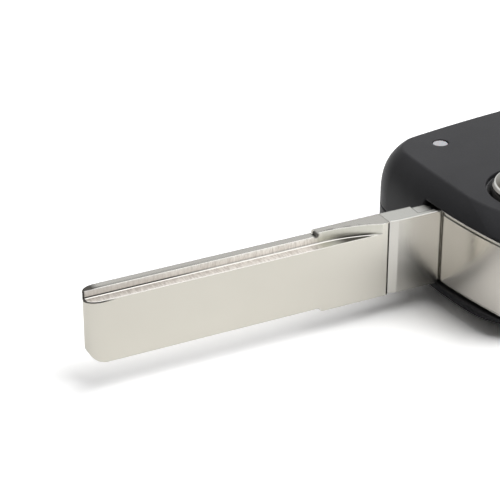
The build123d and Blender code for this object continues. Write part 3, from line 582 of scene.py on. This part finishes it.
# The release button, in mm from the hinge's axis, and its side's height above the floor
# Painted shade: the centre, the near side, a ring inside the rim and the side are darker
CHROME_DARK = rgb(0.76, 0.76, 0.73)
CHROME_LIGHT = rgb(0.82, 0.82, 0.79)
CHROME_CENTRE_SHADE = rgb(0.52, 0.52, 0.50)
CHROME_NEAR_SHADE = rgb(0.32, 0.30, 0.27)
CHROME_SIDE_SHADE = rgb(0.36, 0.34, 0.32)
RING_SHADE_NEAR = rgb(0.10, 0.088, 0.072)
RING_SHADE_FAR = rgb(0.38, 0.37, 0.34)
RING_SHADE_Y = (1.2, 4.0)
CENTRE_RADIUS = (2.0, 4.6)
CENTRE_SHARE = 0.8
NEAR_Y = (1.4, -0.8)
NEAR_SHARE = 0.55
RING_RADIUS = ((3.0, 3.9), (4.72, 4.86))
SIDE_Z = (15.86, 15.96)
CHROME_CLOUD = 300.0
CHROME_ROUGHNESS = (0.10, 0.14)
CHROME_STRENGTH = 0.04
CHROME_EDGE = 0.12


def button_material():
    """Chrome dome with painted shade: a darker centre and near side, a dark ring inside the bright
    rim, darkest on the near side, and a darker side.
    """
    material, shader, surface = new_material("button_chrome", Metallic=1.0)
    radius, over_y = around(shader)
    cloud = shader.cloud(CHROME_CLOUD)
    chrome = shader.blend(shader.rise(cloud, *CLOUD_TONE), CHROME_DARK, CHROME_LIGHT)
    centre = shader.fall(radius, *CENTRE_RADIUS, full=CENTRE_SHARE)
    chrome = shader.blend(centre, chrome, CHROME_CENTRE_SHADE)
    chrome = shader.blend(shader.rise(over_y, *NEAR_Y, full=NEAR_SHARE), chrome, CHROME_NEAR_SHADE)
    ring_shade = shader.blend(shader.rise(over_y, *RING_SHADE_Y), RING_SHADE_NEAR, RING_SHADE_FAR)
    colour = shader.blend(shader.between(radius, *RING_RADIUS), chrome, ring_shade)
    side = shader.fall(shader.place_mm()[2], *SIDE_Z)
    colour = shader.blend(side, colour, CHROME_SIDE_SHADE)
    roughness = shader.span(cloud, *CLOUD_TONE, *CHROME_ROUGHNESS)
    normal = shader.bump(CHROME_STRENGTH, FINE_RELIEF, cloud, shader.softened(CHROME_EDGE))
    finish_surface(shader, surface, colour, roughness, normal)
    return material


# The recess around the button: near side, painted dark as shade, then far side
RECESS_NEAR_SHADE = rgb(0.006, 0.006, 0.006)
RECESS_FAR_DARK = rgb(0.050, 0.050, 0.052)
RECESS_FAR_LIGHT = rgb(0.070, 0.070, 0.072)
RECESS_Y = (-2.4, 0.4)
RECESS_SPECULAR = (0.25, 0.5)
RECESS_ROUGHNESS = (0.2, 0.45)
RECESS_CLOUD = 700.0
RECESS_STRENGTH = 0.04
RECESS_EDGE = 0.1


def collar_material():
    """Glossy black recess: its near side painted darker than the far one, as shade."""
    material, shader, surface = new_material("gloss_black")
    cloud = shader.cloud(RECESS_CLOUD)
    far = shader.rise(shader.place_mm()[1], *RECESS_Y)
    grey = shader.blend(shader.rise(cloud, *CLOUD_TONE), RECESS_FAR_DARK, RECESS_FAR_LIGHT)
    colour = shader.blend(far, RECESS_NEAR_SHADE, grey)
    shader.put(surface.inputs["Specular IOR Level"], shader.span(far, 0.0, 1.0, *RECESS_SPECULAR))
    roughness = shader.span(far, 0.0, 1.0, *RECESS_ROUGHNESS)
    normal = shader.bump(RECESS_STRENGTH, FINE_RELIEF, cloud, shader.softened(RECESS_EDGE))
    finish_surface(shader, surface, colour, roughness, normal)
    return material


# The light window, in mm from its own axis
WINDOW_PLACE = (-3.25, 16.4)
WINDOW_DARK = rgb(0.37, 0.37, 0.385)
WINDOW_LIGHT = rgb(0.45, 0.45, 0.465)
WINDOW_SHADOW = rgb(0.03, 0.03, 0.032)
WINDOW_SHADOW_RADIUS = (0.95, 1.15)
WINDOW_SHADOW_Y = (0.1, 0.7)
WINDOW_SHADOW_SHARE = 0.9
WINDOW_CLOUD = 900.0
WINDOW_ROUGHNESS = (0.28, 0.36)
WINDOW_STRENGTH = 0.05
WINDOW_EDGE = 0.06


def window_material():
    """A milky light window, faintly cloudy, with a dark line of shadow along its far edge."""
    material, shader, surface = new_material(
        "milky_window", Specular_IOR_Level=0.5, Subsurface_Weight=0.15, Subsurface_Scale=0.6 * MM
    )
    cloud = shader.cloud(WINDOW_CLOUD)
    colour = shader.blend(cloud, WINDOW_DARK, WINDOW_LIGHT)
    radius, over_y = around(shader, *WINDOW_PLACE)
    shadow = shader.times(
        shader.rise(radius, *WINDOW_SHADOW_RADIUS),
        shader.rise(over_y, *WINDOW_SHADOW_Y, full=WINDOW_SHADOW_SHARE),
    )
    colour = shader.blend(shadow, colour, WINDOW_SHADOW)
    roughness = shader.span(cloud, *CLOUD_TONE, *WINDOW_ROUGHNESS)
    normal = shader.bump(WINDOW_STRENGTH, FINE_RELIEF, cloud, shader.softened(WINDOW_EDGE))
    finish_surface(shader, surface, colour, roughness, normal)
    return material


def paint(material, *names):
    for name in names:
        slots = nodes[name].data.materials
        slots.clear()
        slots.append(material)


def dress_plastics():
    case = moulded(
        "satin_black", dark=rgb(0.015, 0.015, 0.0168), light=rgb(0.024, 0.024, 0.0265),
        rough=0.40, grain=5200.0, edge=0.4, level=0.155,
    )
    paint(case, "upper_case", "lower_case")
    inner = moulded(
        "inner_plastic", dark=rgb(0.030, 0.030, 0.031), light=rgb(0.045, 0.045, 0.046),
        rough=0.55, grain=3800.0, edge=0.2, level=0.4,
    )
    paint(inner, "board_tray", "chip_holder", "chip_cover")
    keys = moulded(
        "key_rubber", dark=rgb(0.034, 0.034, 0.036), light=rgb(0.044, 0.044, 0.046),
        rough=0.55, grain=4600.0, edge=0.3, level=0.35,
    )
    paint(keys, "lock_button", "unlock_button", "trunk_button")
    pad = moulded(
        "pad_rubber", dark=rgb(0.050, 0.050, 0.050), light=rgb(0.064, 0.064, 0.064),
        rough=0.7, grain=3000.0, edge=0.2, level=0.3,
    )
    paint(pad, "button_pad")
    paint(collar_material(), "release_collar")
    paint(window_material(), "led_window")


def dress_metals():
    # The hub's upward faces get a painted darker shade (top)
    hub = plated(
        "satin_nickel", dark=rgb(0.62, 0.605, 0.565), light=rgb(0.67, 0.655, 0.61),
        rough=0.24, axis=0, strength=0.04, edge=0.18, top=rgb(0.53, 0.53, 0.50),
    )
    paint(hub, "flip_hub")
    band = plated(
        "band_metal", dark=rgb(0.65, 0.62, 0.57), light=rgb(0.70, 0.67, 0.62),
        rough=0.2, axis=2, strength=0.05, edge=0.14, border=12.04,
    )
    paint(band, "nose_band")
    steel = plated(
        "plain_steel", dark=rgb(0.52, 0.51, 0.50), light=rgb(0.62, 0.61, 0.59),
        rough=0.32, axis=2, strength=0.15, edge=0.06,
    )
    paint(steel, "flip_spring", "hub_washer", "case_screws", "ring_pin", "blade_pin")
    clips = plated(
        "clip_metal", dark=rgb(0.66, 0.64, 0.58), light=rgb(0.74, 0.72, 0.66),
        rough=0.28, axis=0, strength=0.1, edge=0.04,
    )
    paint(clips, "battery_clip_plus", "battery_clip_minus")
    paint(button_material(), "release_button")
    paint(blade_material(), "key_blade")


# The floor: its colour as it lights the part and as the camera sees it, and a faint glow
FLOOR_HALF = 3.0
FLOOR_DROP = 0.02 * MM
FLOOR_COLOUR = rgb(0.85, 0.85, 0.85)
FLOOR_SEEN = rgb(1.25, 1.25, 1.25)
FLOOR_LIFT = 0.005
WHITE = rgb(1.0, 1.0, 1.0)


def make_floor():
    """A plain white floor that keeps the soft shadow and is white to the camera."""
    mesh = bpy.data.meshes.new("floor")
    sides = ((-1, -1), (1, -1), (1, 1), (-1, 1))
    corners = [(FLOOR_HALF * x, FLOOR_HALF * y, 0.0) for x, y in sides]
    mesh.from_pydata(corners, [], [(0, 1, 2, 3)])
    floor = bpy.data.objects.new("floor", mesh)
    floor.location.z = -FLOOR_DROP
    bpy.context.scene.collection.objects.link(floor)
    material = bpy.data.materials.new("white_floor")
    material.use_nodes = True
    shader = Shader(material.node_tree)
    ray = shader.add("ShaderNodeLightPath").outputs
    seen = shader.most(ray["Is Camera Ray"], ray["Is Transmission Ray"])
    colour = shader.blend(seen, FLOOR_COLOUR, FLOOR_SEEN)
    plain = shader.add("ShaderNodeBsdfDiffuse", {"Color": colour})
    lift = shader.times(shader.most(seen, ray["Is Glossy Ray"]), FLOOR_LIFT)
    glow = shader.add("ShaderNodeEmission", {"Color": WHITE, "Strength": lift})
    both = shader.add("ShaderNodeAddShader")
    shader.put(both.inputs[0], plain.outputs[0])
    shader.put(both.inputs[1], glow.outputs[0])
    out = shader.add("ShaderNodeOutputMaterial")
    shader.put(out.inputs["Surface"], both.outputs[0])
    mesh.materials.append(material)


# The room's brightness by height, from the horizon at 0 to straight up at 1: start and end of
# each range, and the brightness at both
WALL_LEAN = 0.1
WALL = (0.10, 0.60, 0.62, 1.0)
CEILING = (0.5, 0.75, 0.0, 0.4)
PLAIN_LIGHT = (0.0, 1.0, 0.02, 0.15)


def make_world():
    """A soft white room: plain light for matt surfaces, with a darker low wall in reflections."""
    world = bpy.data.worlds.new("soft_room")
    bpy.context.scene.world = world
    world.use_nodes = True
    shader = Shader(world.node_tree)
    do = shader.math
    way_x, _, height = shader.split(shader.add("ShaderNodeTexCoord").outputs["Generated"])
    wall = do("ADD", height, shader.times(way_x, WALL_LEAN))
    room = do("ADD", shader.span(wall, *WALL, smooth=True), shader.span(height, *CEILING))
    ray = shader.add("ShaderNodeLightPath").outputs
    mirrored = shader.most(ray["Is Glossy Ray"], ray["Is Transmission Ray"])
    light = shader.weighed(mirrored, room, shader.span(height, *PLAIN_LIGHT))
    camera = ray["Is Camera Ray"]
    strength = shader.weighed(camera, 1.0, light)
    back = shader.add("ShaderNodeBackground", {"Color": WHITE, "Strength": strength})
    out = shader.add("ShaderNodeOutputWorld")
    shader.put(out.inputs["Surface"], back.outputs[0])


LAMP_PLACE = Vector((0.40, -0.11, 0.61))
LAMP_SIZE = 0.9
LAMP_POWER = 10.8


def make_lamp():
    """One wide lamp overhead, aimed at the part's origin and out of sight in reflections."""
    data = bpy.data.lights.new("overhead", "AREA")
    data.shape = "SQUARE"
    data.size = LAMP_SIZE
    data.energy = LAMP_POWER
    lamp = bpy.data.objects.new("overhead", data)
    lamp.location = LAMP_PLACE
    lamp.rotation_mode = "QUATERNION"
    lamp.rotation_quaternion = (-LAMP_PLACE).to_track_quat("-Z", "Y")
    lamp.visible_glossy = False
    bpy.context.scene.collection.objects.link(lamp)


make_camera()
dress_plastics()
dress_metals()
make_floor()
make_world()
make_lamp()
bpy.context.scene.view_settings.view_transform = "Standard"
